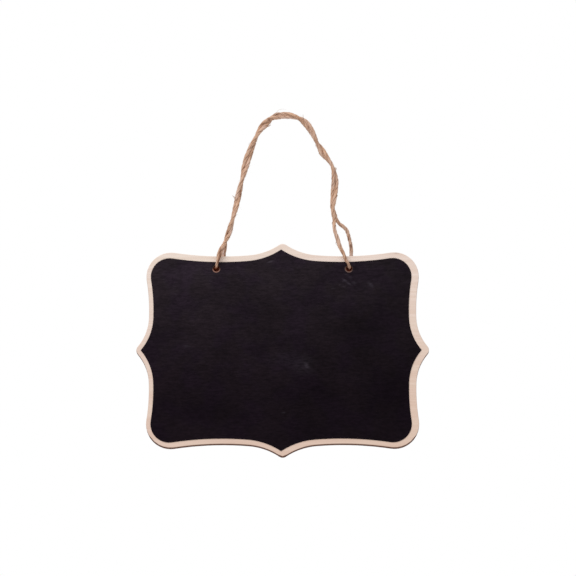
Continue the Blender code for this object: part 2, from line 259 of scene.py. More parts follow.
BACK_STREAKS = [
    (-0.0487, -0.1110, 0.0009, 0.0064, 0.60),
    (-0.0492, -0.1140, 0.0009, 0.0036, 0.50),
    (-0.0470, -0.1120, 0.0007, 0.0060, -0.20),
    (-0.0453, -0.0985, 0.0010, 0.0056, -0.65),
    (-0.0349, -0.0640, 0.0009, 0.0064, -0.75),
    (-0.0285, -0.0400, 0.0010, 0.0060, 0.45),
    (-0.0244, -0.0290, 0.0008, 0.0040, -0.45),
    (-0.0150, -0.0100, 0.0034, 0.0034, 0.40),
    (-0.0110, -0.0034, 0.0015, 0.0015, -0.85),
    (0.0000, 0.0012, 0.0080, 0.0020, -0.10),
    (0.0150, -0.0050, 0.0034, 0.0034, -0.45),
    (0.0204, -0.0136, 0.0016, 0.0046, -0.40),
    (0.0390, -0.0400, 0.0030, 0.0050, 0.25),
    (0.0406, -0.0554, 0.0006, 0.0090, -0.55),
    (0.0394, -0.0560, 0.0008, 0.0070, 0.25),
    (0.0413, -0.0760, 0.0012, 0.0050, -0.20),
    (0.0532, -0.0986, 0.0016, 0.0024, 0.20),
    (0.0540, -0.1023, 0.0014, 0.0022, -0.75),
    (0.0546, -0.1052, 0.0014, 0.0012, 0.50),
    (0.0558, -0.1085, 0.0011, 0.0024, -0.90),
    (0.0552, -0.1100, 0.0008, 0.0016, 0.35),
    (0.0562, -0.1155, 0.0020, 0.0026, 0.50),
]

# Loose fibres and lumps that show in particular: the y of each, its radius at its root, and a
# line through x and z
HAIRS = {
    "front_twine": [
        (-0.0012, 0.00017, [
            (-0.0060, 0.0008), (-0.0050, 0.0028), (-0.0036, 0.0045),
            (-0.0018, 0.0053), (0.0002, 0.0056), (0.0027, 0.0053),
        ]),
        (-0.0012, 0.00026, [(-0.0078, 0.0004), (-0.0060, 0.0022), (-0.0042, 0.0028), (-0.0020, 0.0026)]),
        (-0.0012, 0.00026, [(-0.0068, 0.0006), (-0.0052, 0.0017), (-0.0036, 0.0021), (-0.0016, 0.0022)]),
        (-0.0012, 0.00020, [(0.0174, -0.0032), (0.0170, -0.0012), (0.0168, 0.0012)]),
        (-0.0012, 0.00032, [(-0.0375, -0.0700), (-0.0392, -0.0690), (-0.0412, -0.0672)]),
        (-0.0012, 0.00028, [(-0.0375, -0.0694), (-0.0390, -0.0680), (-0.0418, -0.0664)]),
        (-0.0012, 0.00024, [(-0.0377, -0.0706), (-0.0391, -0.0700), (-0.0403, -0.0688)]),
        (-0.0012, 0.00022, [(0.0425, -0.0885), (0.0412, -0.0892), (0.0404, -0.0902)]),
        (-0.0012, 0.00016, [(0.0424, -0.0893), (0.0413, -0.0900), (0.0407, -0.0911)]),
        (-0.0012, 0.00030, [(0.0402, -0.0732), (0.0393, -0.0750), (0.0392, -0.0772)]),
        (-0.0012, 0.00028, [(0.0428, -0.0452), (0.0438, -0.0440), (0.0443, -0.0430)]),
        (-0.0012, 0.00026, [(0.0430, -0.0462), (0.0441, -0.0448), (0.0446, -0.0434)]),
        (-0.0012, 0.00020, [(0.0296, -0.0226), (0.0304, -0.0238), (0.0314, -0.0256)]),
        (-0.0012, 0.00012, [(0.0412, -0.0600), (0.0402, -0.0590), (0.0396, -0.0572)]),
        (-0.0012, 0.00042, [(-0.0264, -0.0261), (-0.0275, -0.0244), (-0.0275, -0.0224)]),
        (-0.0012, 0.00040, [(-0.0149, -0.0062), (-0.0137, -0.0046), (-0.0125, -0.0039)]),
        (-0.0012, 0.00045, [(-0.0100, -0.0074), (-0.0112, -0.0087), (-0.0129, -0.0096)]),
        (-0.0012, 0.00042, [(-0.0067, 0.0002), (-0.0047, 0.0017), (-0.0018, 0.0023)]),
        (-0.0012, 0.00026, [(0.0168, -0.0028), (0.0168, -0.0008), (0.0168, 0.0011)]),
        (-0.0012, 0.00045, [(0.0285, -0.0228), (0.0273, -0.0245), (0.0276, -0.0265)]),
        (-0.0012, 0.00045, [(0.0304, -0.0294), (0.0298, -0.0313), (0.0309, -0.0331)]),
        (-0.0012, 0.00048, [(0.0417, -0.0452), (0.0432, -0.0436), (0.0445, -0.0456)]),
        (-0.0012, 0.00062, [(0.0404, -0.0726), (0.0395, -0.0755), (0.0400, -0.0788)]),
        (-0.0012, 0.00040, [(0.0441, -0.0651), (0.0450, -0.0669), (0.0442, -0.0688)]),
        (-0.0012, 0.00034, [(0.0427, -0.0809), (0.0444, -0.0826), (0.0449, -0.0846)]),
        (-0.0016, 0.00034, [(0.0414, -0.0884), (0.0406, -0.0900), (0.0414, -0.0918)]),
        (-0.0046, 0.00036, [(0.0444, -0.1055), (0.0437, -0.1072), (0.0449, -0.1092)]),
        (-0.0012, 0.00048, [(-0.0375, -0.0685), (-0.0394, -0.0680), (-0.0412, -0.0674)]),
    ],
    "back_twine": [
        (0.0048, 0.00042, [(0.0547, -0.0993), (0.0559, -0.1014), (0.0555, -0.1034)]),
        (0.0056, 0.00040, [(0.0564, -0.1060), (0.0574, -0.1081), (0.0569, -0.1101)]),
    ],
}
HAIR_TONES = (0.0, 0.5)  # 0 is the darkest that a fibre can be, and 1 the palest

# Loose fibres all along each length: how many, their lengths, how steeply they stand off, from
# 0 along it to half pi straight out, and their radius at the root
FUZZ = [
    (1500, (0.0008, 0.0020), (0.5, 1.3), 0.000024),
    (420, (0.0014, 0.0034), (0.25, 1.1), 0.00003),
    (60, (0.0035, 0.0070), (0.3, 0.9), 0.000026),
]
FIBRE_SEED = 11
FIBRE_SIDES = 3
FIBRE_STEPS = 4
FIBRE_TAPER = 0.75  # share of its radius that a fibre loses from root to tip
FIBRE_ROOT = 0.42  # from the twine's middle to the root, in diameters
LENGTH_SHARES = (0.5, 1)  # of the lengths above
RADIUS_SHARES = (0.7, 1.2)
FIBRE_BEND = 0.35  # spread of the steady bend of a fibre, and what each step takes of it
BEND_PER_STEP = 0.28
FIBRE_KINK = 0.10  # spread of what each step adds at random
END_MARGIN = 4  # points at each end of a length where none grows
CLEAR_OUT = 0.4  # how straight to the clear side one has to point beside the board


# Colours


def linear(value):
    """A screen value from 0 to 255 as the share of light that it stands for, by the usual curve
    of screens."""
    share = value / 255
    return share / 12.92 if share <= 0.04045 else ((share + 0.055) / 1.055) ** 2.4


def rgb(*screen):
    return (*map(linear, screen), 1)


TWINE_DARK = rgb(150, 106, 79)
TWINE_PALE = rgb(245, 209, 183)
TWINE_CLUMP = rgb(212, 165, 132)
TWINE_STRETCH = rgb(222, 196, 182)
TWINE_CREASE_SHADE = rgb(122, 79, 57)
TWINE_PALER_AND_HIGHLIGHT = rgb(236, 212, 204)
TWINE_BROWNER_AND_SHADE = rgb(112, 64, 40)
TWINE_HOLE_SHADE = rgb(112, 48, 22)
FIBRE_DARK = rgb(178, 142, 118)
FIBRE_PALE = rgb(236, 214, 198)

# LOW, HIGH and RIGHT are toward those edges of the board or of the field. Their blend is
# # painted light: lighter toward the top, shaded toward the bottom and the right
WOOD_LOW_SHADED = rgb(231, 203, 188)
WOOD_HIGH_LIT = rgb(245, 228, 218)
WOOD_RIGHT_SHADED = rgb(226, 195, 173)
WOOD_LINE = rgb(208, 174, 150)
WOOD_FIGURE = rgb(240, 224, 206)
WOOD_PORE = rgb(176, 138, 112)
WOOD_STAIN = rgb(140, 100, 78)
SCORCHED_DARK = rgb(78, 48, 38)
SCORCHED_PALE = rgb(116, 80, 64)
CORE_DARK = rgb(74, 46, 38)
CORE_PALE = rgb(114, 78, 64)
CORE_PLY = rgb(142, 104, 84)
HOLE_RING_DARK = rgb(34, 24, 26)
HOLE_BURNT_AND_SHADE = rgb(84, 40, 22)

PAINT_LOW_SHADED = rgb(25, 18, 24)
PAINT_HIGH_SHEEN = rgb(49, 42, 48)
PAINT_RIGHT_SHADED = rgb(11, 7, 10)
PAINT_SHADE = rgb(8, 5, 7)
PAINT_REDDER = (0.99, 0.91, 1.04, 1)  # this and the next multiply the paint's colour
PAINT_YELLOWER = (1.02, 1.0, 0.96, 1)
CHALK = rgb(112, 104, 116)


# Material nodes

PATCH_REACH = 1.5  # where a soft spot has faded out, in half lengths of it
ANY_DEPTH = 1000  # its half size through the board, so large that depth makes no difference


class Shade:
    """A material under construction. Its calls add nodes and give back the socket to use next."""

    def __init__(self, name, roughness, specular):
        self.material = bpy.data.materials.new(name)
        self.material.use_nodes = True
        self.tree = self.material.node_tree
        self.shader = self.tree.nodes["Principled BSDF"]
        self.shader.inputs["Roughness"].default_value = roughness
        self.shader.inputs["Specular IOR Level"].default_value = specular

    def node(self, kind, inputs=(), **settings):
        made = self.tree.nodes.new(kind)
        for name, value in settings.items():
            setattr(made, name, value)
        for key, value in dict(inputs).items():
            if isinstance(value, bpy.types.NodeSocket):
                self.tree.links.new(value, made.inputs[key])
            else:
                made.inputs[key].default_value = value
        return made

    def link(self, socket, name):
        self.tree.links.new(socket, self.shader.inputs[name])

    def coordinates(self, kind="Object"):
        return self.node("ShaderNodeTexCoord").outputs[kind]

    def attribute(self, name, output):
        return self.node("ShaderNodeAttribute", attribute_name=name).outputs[output]

    def scaled(self, vector, scale, place=(0, 0, 0)):
        """The vector times a scale, which for noise is how many blotches go in a metre each way."""
        inputs = {"Vector": vector, "Scale": scale, "Location": place}
        return self.node("ShaderNodeMapping", inputs).outputs[0]

    def noise(self, vector, detail=3.0, roughness=0.55, distortion=0.0):
        inputs = {"Vector": vector, "Scale": 1.0, "Detail": detail, "Roughness": roughness}
        inputs["Distortion"] = distortion
        return self.node("ShaderNodeTexNoise", inputs).outputs["Fac"]

    def maths(self, operation, first, second=0.0, third=0.0):
        inputs = {0: first, 1: second, 2: third}
        return self.node("ShaderNodeMath", inputs, operation=operation).outputs[0]

    def within_evenly(self, value, low, high):
        """The value between low and high, as a share from 0 to 1."""
        inputs = {"Value": value, "From Min": low, "From Max": high}
        return self.node("ShaderNodeMapRange", inputs).outputs[0]

    def within(self, value, low, high, start=0.0, end=1.0):
        """The value between low and high, as a smooth share from start to end."""
        inputs = {"Value": value, "From Min": low, "From Max": high, "To Min": start, "To Max": end}
        return self.node("ShaderNodeMapRange", inputs, interpolation_type="SMOOTHSTEP").outputs[0]

    def mixed(self, share, first, second, blend="MIX"):
        made = self.node("ShaderNodeMix", data_type="RGBA", blend_type=blend)
        for key, value in ((0, share), (6, first), (7, second)):
            if isinstance(value, bpy.types.NodeSocket):
                self.tree.links.new(value, made.inputs[key])
            else:
                made.inputs[key].default_value = value
        return made.outputs[2]

    def patch(self, vector, x, z, length, tall, strength, fall=0.0):
        """A soft oval spot on the board's face: its strength in the middle, and nothing outside.
        Its long axis falls to the right by an angle."""
        inputs = {"Vector": vector, "Location": (x, 0, z), "Rotation": (0, fall, 0)}
        inputs["Scale"] = (length, ANY_DEPTH, tall)
        away = self.node("ShaderNodeMapping", inputs, vector_type="TEXTURE").outputs[0]
        return self.within(self.length(away), 0.0, PATCH_REACH, strength, 0.0)

    def length(self, vector):
        return self.node("ShaderNodeVectorMath", {0: vector}, operation="LENGTH").outputs["Value"]

    def parts(self, vector):
        return self.node("ShaderNodeSeparateXYZ", {0: vector}).outputs

    def bump(self, height, distance):
        inputs = {"Height": height, "Distance": distance, "Strength": 1.0}
        self.link(self.node("ShaderNodeBump", inputs).outputs[0], "Normal")


def add_mesh(name, points, faces, material):
    mesh = bpy.data.meshes.new(name)
    mesh.from_pydata(points, [], faces)
    mesh.materials.append(material)
    mesh.shade_smooth()
    obj = bpy.data.objects.new(name, mesh)
    bpy.context.collection.objects.link(obj)
    return obj


def add_attribute(obj, name, kind, values):
    attribute = obj.data.attributes.new(name, kind, "POINT")
    field = "vector" if kind == "FLOAT_VECTOR" else "value"
    attribute.data.foreach_set(field, np.asarray(values, np.float32).ravel())


def tube_faces(rings, sides, start=0):
    """The faces of a tube with flat ends, whose points come ring by ring from a start."""
    faces = []
    last = start + (rings - 1) * sides
    for ring in range(start, last, sides):
        for k in range(sides):
            a, b = ring + k, ring + (k + 1) % sides
            faces.append((a, b, b + sides, a + sides))
    faces.append(tuple(reversed(range(start, start + sides))))
    faces.append(tuple(range(last, last + sides)))
    return faces


# Lines through points


def smooth(points):
    """Points along one smooth curve through the given ones, of any number of values each."""
    points = [np.array(point, float) for point in points]
    found = []
    for i in range(len(points) - 1):
        here, there = points[i], points[i + 1]
        before = points[max(i - 1, 0)]
        after = points[min(i + 2, len(points) - 1)]
        span = np.linalg.norm(there[:3] - here[:3])
        behind = np.linalg.norm(here[:3] - before[:3])
        ahead = np.linalg.norm(after[:3] - there[:3])
        leaving = (there - before) * span / (span + behind)
        arriving = (after - here) * span / (span + ahead)
        for step in range(SMOOTH_STEPS):
            t = step / SMOOTH_STEPS
            found.append(
                (1 - t) ** 2 * (1 + 2 * t) * here
                + t**2 * (3 - 2 * t) * there
                + t * (1 - t) ** 2 * leaving
                - t**2 * (1 - t) * arriving
            )
    return np.array([*found, points[-1]])


def evenly(points, spacing):
    """The line again, with its points about a spacing apart."""
    steps = np.linalg.norm(np.diff(points[:, :3], axis=0), axis=1)
    along = np.concatenate([[0], np.cumsum(steps)])
    at = np.linspace(0, along[-1], max(2, round(along[-1] / spacing) + 1))
    return np.stack([np.interp(at, along, column) for column in points.T], axis=1)


def twisted_runs():
    """The front and the back length where they are twisted together, from left to right."""
    route = [(x, 0, *rest) for x, *rest in PAIR_ROUTE]
    line = evenly(smooth(route), PAIR_SPACING)
    course = np.gradient(line[:, :3], axis=0)
    course /= np.linalg.norm(course, axis=1)[:, None]
    inside = np.stack([course[:, 2], course[:, 1], -course[:, 0]], axis=1)
    angle = math.pi * (1 / 2 - line[:, 3])
    viewer = np.array((0, -1, 0))
    swing = inside * np.cos(angle)[:, None] + viewer * np.sin(angle)[:, None]
    swing *= line[:, 4:5] / 2
    thick = line[:, 5:6]
    return np.hstack([line[:, :3] + swing, thick]), np.hstack([line[:, :3] - swing, thick])


def hole_arc(side):
    """Points from under the strip over a hole round to its front, about the board's pivot.
    The side is -1 at the left hole and 1 at the right one."""
    found = []
    for i in range(ARC_STEPS + 1):
        share = i / ARC_STEPS
        angle = math.pi * (1 + share) / 2
        x = side * (HALF_PITCH + SPLAY - LEANS[side] * share ** LEAN_POWERS[side])
        y, z = ARC_RADIUS * math.cos(angle), PIVOT_Z - ARC_RADIUS * math.sin(angle)
        found.append((x, y, z, BEND_THICKNESS))
    return found


def knot_surface(knot, toward):
    """The point on a knot's surface that lies that way from its middle."""
    unit = toward.normalized()
    squashed = Vector([a / b for a, b in zip(unit, KNOT_HALF_SIZES)])
    return knot + unit / squashed.length


def twine_lines():
    """The middles of the front length and of the back one, from knot to knot."""
    front, back = twisted_runs()
    left_start = (*knot_surface(LEFT_KNOT, FRONT_SIDE), BEND_THICKNESS)
    right_start = (*knot_surface(RIGHT_KNOT, FRONT_SIDE), BEND_THICKNESS)
    left = [left_start, *hole_arc(-1), *LEFT_FRONT_LEG]
    right = [right_start, *hole_arc(1), *RIGHT_FRONT_LEG]
    left_rear = [(*knot_surface(LEFT_KNOT, LEFT_BACK_SIDE), 1), *LEFT_BACK_LEG]
    right_rear = [(*knot_surface(RIGHT_KNOT, RIGHT_BACK_SIDE), 1), *RIGHT_BACK_LEG]
    whole = ([*left, *front, *right[::-1]], [*left_rear, *back, *right_rear[::-1]])
    return [evenly(smooth(points), RING_SPACING) for points in whole]


# Twine of two plies


def frames_along(line):
    """Three unit vectors at each point of a line: its course, and two square to it that turn
    as little as they can along the way."""
    course = np.gradient(line, axis=0)
    course /= np.linalg.norm(course, axis=1)[:, None]
    first = np.zeros_like(course)
    side = np.cross(course[0], (0.0, 1.0, 0.0))
    first[0] = side / np.linalg.norm(side)
    for i in range(1, len(line)):
        side = first[i - 1] - course[i] * (first[i - 1] @ course[i])
        first[i] = side / np.linalg.norm(side)
    return course, first, np.cross(course, first)


def ply_reach(angle):
    """How far the section of one ply reaches from the twine's middle, at an angle from that ply."""
    across = math.cos(angle) ** 2 / PLY_ACROSS**2 + math.sin(angle) ** 2 / PLY_ALONG**2
    toward = PLY_OFFSET * math.cos(angle) / PLY_ACROSS**2
    rest = PLY_OFFSET**2 / PLY_ACROSS**2 - 1
    return (toward + math.sqrt(toward**2 - across * rest)) / across


def section():
    """The reach of both plies together at each side of a ring, which turns with the plies."""
    angles = [2 * math.pi * k / RING_SIDES for k in range(RING_SIDES)]
    return [(a, max(ply_reach(a), ply_reach(a + math.pi))) for a in angles]


def wobble(x, y, z):
    return noise.noise(Vector((x, y, z)))


def uneven(s, seed, amount, span, kind):
    """A value about zero that wanders as it goes along a strand."""
    return amount * wobble(s / span, seed, kind)


def ridges(x, y, s, seed):
    """How far the fibres raise a strand's surface, in the direction x and y and at s along it."""
    (few, long), (many, short) = BROAD_RIDGES, NARROW_RIDGES
    broad = wobble(x * few, y * few, s / long + seed)
    narrow = wobble(x * many, y * many, s / short)
    return RIDGE_HEIGHT * (broad + NARROW_SHARE * narrow)


def tint_at(places, streaks):
    """How much paler, above zero, or browner, below it, each place is: partly the fibres' own
    tone and partly painted highlight and painted shade.
    """
    found = np.zeros(len(places))
    for x, z, half_width, half_height, share in streaks:
        away = ((places[:, 0] - x) / half_width) ** 2 + ((places[:, 2] - z) / half_height) ** 2
        found += share * np.exp(-away)
    return np.clip(found, -1, 1)


def share_between(value, low, high):
    return max(0, min(1, (value - low) / (high - low)))


def hole_shade_at(place):
    """How much painted shade a point of the twine gets inside a hole, or on a knot that plugs it."""
    away = math.hypot(abs(place[0]) - HALF_PITCH, place[2] - HOLE_Z)
    depths = HOLE_SHADE_DEPTHS[-1 if place[0] < 0 else 1]
    inside = share_between(place[1], *depths) if place[1] < HOLE_SHADE_END else 0
    return inside * (1 - share_between(away, *HOLE_SHADE_REACHES))


def strand(name, line, material, thickness=1.0, tapered=False, streaks=()):
    """A mesh tube of two plies along a line, its tips thinner where it is tapered. Its points
    carry their place on the straightened twine, how deep they lie between the plies, how much
    paler or browner they are, partly the fibres' own tone and partly painted highlight and
    painted shade, and how much painted shade they get in a hole. A fourth value of the line,
    where it has one, is its thickness."""
    seed = SEEDS[name]
    widths = line[:, 3] if line.shape[1] > 3 else np.full(len(line), thickness)
    line = line[:, :3]
    _, first, second = frames_along(line)
    spans = np.linalg.norm(np.diff(line, axis=0), axis=1)
    along = np.concatenate([[0], np.cumsum(spans)])
    shape = section()
    crown = max(reach for _, reach in shape)
    points, straight, raised, hole_shade = [], [], [], []
    for i, middle in enumerate(line):
        s = along[i]
        turn = 2 * math.pi * s / PLY_PITCH + 2 * math.pi * uneven(s, seed, *TURN_SLACK)
        thick = widths[i] * (1 + uneven(s, seed, *SWELLING) + uneven(s, seed, *LUMPS))
        from_tip = min(s, along[-1] - s) / TWINE_DIAMETER
        taper = min(1, TIP_SHARE + TIP_GROWTH * from_tip) if tapered else 1
        fuller = uneven(s, seed, *FULLER_PLY)
        for angle, reach in shape:
            around = angle + turn
            x, y = math.cos(around), math.sin(around)
            far = reach * thick * taper * (1 + fuller * math.cos(angle))
            far += ridges(x, y, s, seed)
            point = middle + (first[i] * x + second[i] * y) * far
            points.append(point)
            hole_shade.append(hole_shade_at(point))
            straight.append((x * reach, y * reach, s))
            raised.append((reach / crown) ** 2)
    faces = tube_faces(len(line), RING_SIDES)
    obj = add_mesh(name, [tuple(p) for p in points], faces, material)
    add_attribute(obj, "straight", "FLOAT_VECTOR", straight)
    add_attribute(obj, "crown", "FLOAT", raised)
    add_attribute(obj, "tint", "FLOAT", tint_at(np.array(points), streaks))
    add_attribute(obj, "hole_shade", "FLOAT", hole_shade)
    return obj


# Noise on the twine: blotches in a metre across it, both ways, and along it
TWINE_FIBRES = (4200, 4200, 130)
TWINE_CLUMPS = (1300, 1300, 75)
TWINE_STRETCHES = (60, 60, 48)
TWINE_RELIEF = 0.00012


def jute():
    """Twine of pale and brown fibres, with painted shade in the creases between its plies,
    painted highlight and painted shade in its streaks, and painted shade in the holes.
    """
    shade = Shade("jute", roughness=0.92, specular=0.12)
    straight = shade.attribute("straight", "Vector")
    crown = shade.attribute("crown", "Fac")
    fibres = shade.noise(shade.scaled(straight, TWINE_FIBRES), detail=4, roughness=0.6)
    clumps = shade.noise(shade.scaled(straight, TWINE_CLUMPS), detail=3)
    stretches = shade.noise(shade.scaled(straight, TWINE_STRETCHES), detail=2)
    colour = shade.mixed(shade.within(fibres, 0.32, 0.70), TWINE_DARK, TWINE_PALE)
    colour = shade.mixed(shade.within(clumps, 0.35, 0.68, 0, 0.55), colour, TWINE_CLUMP)
    colour = shade.mixed(shade.within(stretches, 0.40, 0.72, 0, 0.50), colour, TWINE_STRETCH)
    # painted shade: darker in the creases between the plies
    colour = shade.mixed(shade.within(crown, 0.30, 0.80, 0.60, 0.0), colour, TWINE_CREASE_SHADE)
    # streaks paler or browner: partly the fibres' own tone, partly painted highlight and painted shade
    tint = shade.attribute("tint", "Fac")
    colour = shade.mixed(shade.within(tint, 0.0, 1.0, 0, 0.8), colour, TWINE_PALER_AND_HIGHLIGHT)
    colour = shade.mixed(shade.within(tint, -1.0, 0.0, 0.85, 0), colour, TWINE_BROWNER_AND_SHADE)
    # painted shade on the twine inside a hole and on the knot that plugs it
    colour = shade.mixed(shade.attribute("hole_shade", "Fac"), colour, TWINE_HOLE_SHADE)
    shade.link(colour, "Base Color")
    shade.link(shade.within(fibres, 0.2, 0.8, 0.98, 0.82), "Roughness")
    shade.bump(shade.maths("ADD", fibres, clumps), TWINE_RELIEF)
    return shade.material


def fuzz_material():
    shade = Shade("jute_fibre", roughness=0.85, specular=0.15)
    tone = shade.attribute("tone", "Fac")
    shade.link(shade.mixed(tone, FIBRE_DARK, FIBRE_PALE), "Base Color")
    return shade.material


# Loose fibres


class Fibres:
    """Thin loose fibres, gathered into one mesh."""

    def __init__(self):
        self.points, self.faces, self.tones = [], [], []

    def add(self, line, radius, tone):
        line = np.asarray(line, float)
        _, first, second = frames_along(line)
        self.faces += tube_faces(len(line), FIBRE_SIDES, len(self.points))
        for i, middle in enumerate(line):
            far = radius * (1 - FIBRE_TAPER * i / (len(line) - 1))
            for k in range(FIBRE_SIDES):
                angle = 2 * math.pi * k / FIBRE_SIDES
                out = first[i] * math.cos(angle) + second[i] * math.sin(angle)
                self.points.append(middle + out * far)
                self.tones.append(tone)

    def made(self, name, material):
        obj = add_mesh(name, [tuple(p) for p in self.points], self.faces, material)
        add_attribute(obj, "tone", "FLOAT", self.tones)
        return obj


def sprout(fibres, random, line, clear_side, count, lengths, lift, radius):
    """Fibres that stand off a strand, each bent back a little along it. Beside the board they
    stand only on its clear side, -1 in front and 1 behind."""
    course, first, second = frames_along(line)
    for _ in range(count):
        i = int(random.integers(END_MARGIN, len(line) - END_MARGIN))
        around = random.uniform(0, 2 * math.pi)
        out = first[i] * math.cos(around) + second[i] * math.sin(around)
        z = line[i][2]
        if z < BESIDE_BOARD_Z and (out[1] * clear_side < CLEAR_OUT or z < PIVOT_Z):
            continue
        way = course[i] * random.choice((-1, 1))
        length = random.uniform(*lengths) * random.uniform(*LENGTH_SHARES)
        rise = random.uniform(*lift)
        bend = random.normal(0, FIBRE_BEND, 3)
        drift = way * math.cos(rise) + out * math.sin(rise)
        place = line[i] + out * TWINE_DIAMETER * FIBRE_ROOT
        path = [place]
        for _ in range(FIBRE_STEPS):
            drift = drift + bend * BEND_PER_STEP + random.normal(0, FIBRE_KINK, 3)
            drift /= np.linalg.norm(drift)
            place = place + drift * length / FIBRE_STEPS
            path.append(place)
        fibres.add(path, radius * random.uniform(*RADIUS_SHARES), random.uniform(0, 1))


def knot_lines(knot, side, back_side, long_end, short_end):
    """The two strands of a knot: one winds round the other, and both end below it."""
    reach = KNOT_HALF_SIZES - Vector((1, 1, 1)) * TWINE_DIAMETER * WRAP_INSET
    wrap = [knot_surface(knot, FRONT_SIDE)]
    for i in range(WRAP_STEPS + 1):
        share = i / WRAP_STEPS
        angle = -math.pi / 2 + side * 2 * math.pi * WRAP_TURNS * share
        tilt = WRAP_TILT * math.cos(angle) * side
        x, y = math.cos(angle) * reach.x, math.sin(angle) * reach.y
        wrap.append(knot + Vector((x, y, (WRAP_TOP - WRAP_FALL * share + tilt) * reach.z)))
    wrap += [knot_surface(knot, Vector(long_end[0]) - knot), *long_end]
    through = [knot_surface(knot, back_side), knot + THROUGH_MIDDLE]
    through += [knot_surface(knot, Vector(short_end[0]) - knot), *short_end]
    return [evenly(smooth(points), RING_SPACING) for points in (wrap, through)]


def make_twine():
    material = jute()
    loose_material = fuzz_material()
    random = np.random.default_rng(FIBRE_SEED)
    knots = {
        "left": (LEFT_KNOT, -1, LEFT_BACK_SIDE, LEFT_LONG_END, LEFT_SHORT_END),
        "right": (RIGHT_KNOT, 1, RIGHT_BACK_SIDE, RIGHT_LONG_END, RIGHT_SHORT_END),
    }
    on_knots = {}
    for side, facts in knots.items():
        wrap_line, through_line = knot_lines(*facts)
        wrap = strand(f"{side}_knot_wrap", wrap_line, material, WRAP_THICKNESS, tapered=True)
        through_name = f"{side}_knot_through"
        through = strand(through_name, through_line, material, THROUGH_THICKNESS, tapered=True)
        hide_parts(f"{side}_knot", f"{side}_end_long")
        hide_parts(f"{side}_end_short")
        on_knots[side] = [wrap, through]
    front_line, back_line = twine_lines()
    pieces = [*on_knots["left"], *on_knots["right"]]
    for name, node, line, length, side, streaks, clear_side in (
        ("front_twine", "twine_front", front_line, FRONT_LENGTH, "left", FRONT_STREAKS, -1),
        ("back_twine", "twine_back", back_line, BACK_LENGTH, "right", BACK_STREAKS, 1),
    ):
        twine = strand(name, line, material, streaks=streaks)
        fibres = Fibres()
        line = line[:, :3]
        for sort in FUZZ:
            sprout(fibres, random, line, clear_side, *sort)
        for y, radius, places in HAIRS[name]:
            hair = smooth([(x, y, z) for x, z in places])
            fibres.add(hair, radius, random.uniform(*HAIR_TONES))
        loose = fibres.made(f"{name}_fibres", loose_material)
        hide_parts(node)
        pieces += [twine, loose]
    for piece in pieces:
        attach(piece, "hanger")


# Board

# Noise on the wood: blotches in a metre along X, Y and Z
WOOD_LINES = (16, 60, 620)
WOOD_FIGURES = (5, 30, 70)
WOOD_PORES = (130, 400, 3200)
SCORCH_BLOTCHES = (900, 120, 900)
WOOD_RELIEF = 0.00006

FACE_TURNS = (0.35, 0.85)  # how squarely it faces front or back: an edge at most, a face at least
UPWARD_SHARE = 0.4  # what facing up adds to that, and facing down takes off: painted shade, more scorched colour facing down
EDGE_RISE = 0.021  # the part of the outline's height that its lower edge takes up
EDGE_STEPS = 64
ARRIS_DEPTH = 0.0002  # the corners behind this depth lie on the outline, behind its broken arris
LOWER_EDGE_SHADE_RISES = (0.0003, 0.0011)  # above the lower edge, from painted shade in scorched colour to bare wood
BURN_WIDTH = 0.0004  # round each hole, scorched and in painted shade in the bore
RING_RADII = (0.0036, 0.0042)  # from the ring round a hole to the wood
RING_BLUR = 0.0003
RING_ENDS = (-0.3, 0.75)  # cosine from the way of the paler part: dark at most, pale at least

# Ring round each hole: the side, how far out its paler part reaches, the colour of that part and
# the way from the hole's middle that it lies
HOLE_RINGS = [
    (-1, 0.0032, rgb(156, 116, 102), (0.05, 0, -1.00)),
    (1, 0.0036, rgb(112, 86, 78), (-0.40, 0, -0.92)),
]

# Brown marks on the wood near its edge: x and z of the middle, half length, half height, strength
STAINS = [
    (0.0055, -0.1073, 0.0014, 0.0007, 0.55),
    (0.0090, -0.1101, 0.0014, 0.0008, 0.55),
    (0.0840, -0.1149, 0.0060, 0.0004, 0.40),
    (0.0935, -0.1151, 0.0030, 0.0005, 0.40),
]


def above_lower_edge(shade, place):
    """How far a place on the board lies above the outline's lower edge."""
    low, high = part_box("front_veneer")
    corners = np.array([corner.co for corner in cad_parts["front_veneer"].data.vertices])
    rim = corners[(corners[:, 1] > low.y + ARRIS_DEPTH) & (corners[:, 2] < low.z + EDGE_RISE)]
    rim = rim[np.argsort(rim[:, 0])]
    along = shade.within_evenly(shade.parts(place)[0], low.x, high.x)
    made = shade.node("ShaderNodeFloatCurve", {"Value": along})
    curve = made.mapping.curves[0]
    for i in range(EDGE_STEPS + 1):
        share = i / EDGE_STEPS
        z = np.interp(low.x + (high.x - low.x) * share, rim[:, 0], rim[:, 2])
        rise = (z - low.z) / EDGE_RISE
        if i in (0, EDGE_STEPS):  # a new curve has these two points
            point = curve.points[-1 if i else 0]
            point.location = (share, rise)
        else:
            point = curve.points.new(share, rise)
        point.handle_type = "VECTOR"
    made.mapping.update()
    edge = shade.maths("MULTIPLY_ADD", made.outputs[0], EDGE_RISE, low.z)
    return shade.maths("SUBTRACT", shade.parts(place)[2], edge)


def round_holes(shade, place, colour, front):
    """The colour again, darker round both holes, scorched and in painted shade in the bore, and in
    front with a ring that is dark but for a paler part on one side."""
    for side, ring, tone, toward in HOLE_RINGS:
        away = shade.scaled(place, (1, 0, 1), (-side * HALF_PITCH, 0, -HOLE_Z))
        reach = shade.length(away)
        if front:
            inputs = {0: away, 1: toward}
            along = shade.node("ShaderNodeVectorMath", inputs, operation="DOT_PRODUCT")
            toward_pale = shade.maths("DIVIDE", along.outputs["Value"], reach)
            inner = shade.mixed(shade.within(toward_pale, *RING_ENDS), HOLE_RING_DARK, tone)
            blurred = shade.within(reach, ring, ring + RING_BLUR)
            inner = shade.mixed(blurred, inner, HOLE_RING_DARK)
            colour = shade.mixed(shade.within(reach, *RING_RADII, 1.0, 0.0), colour, inner)
        # scorch and painted shade in the bore
        burnt_and_shade = shade.within(reach, HOLE_RADIUS, HOLE_RADIUS + BURN_WIDTH, 1.0, 0.0)
        colour = shade.mixed(burnt_and_shade, colour, HOLE_BURNT_AND_SHADE)
    return colour


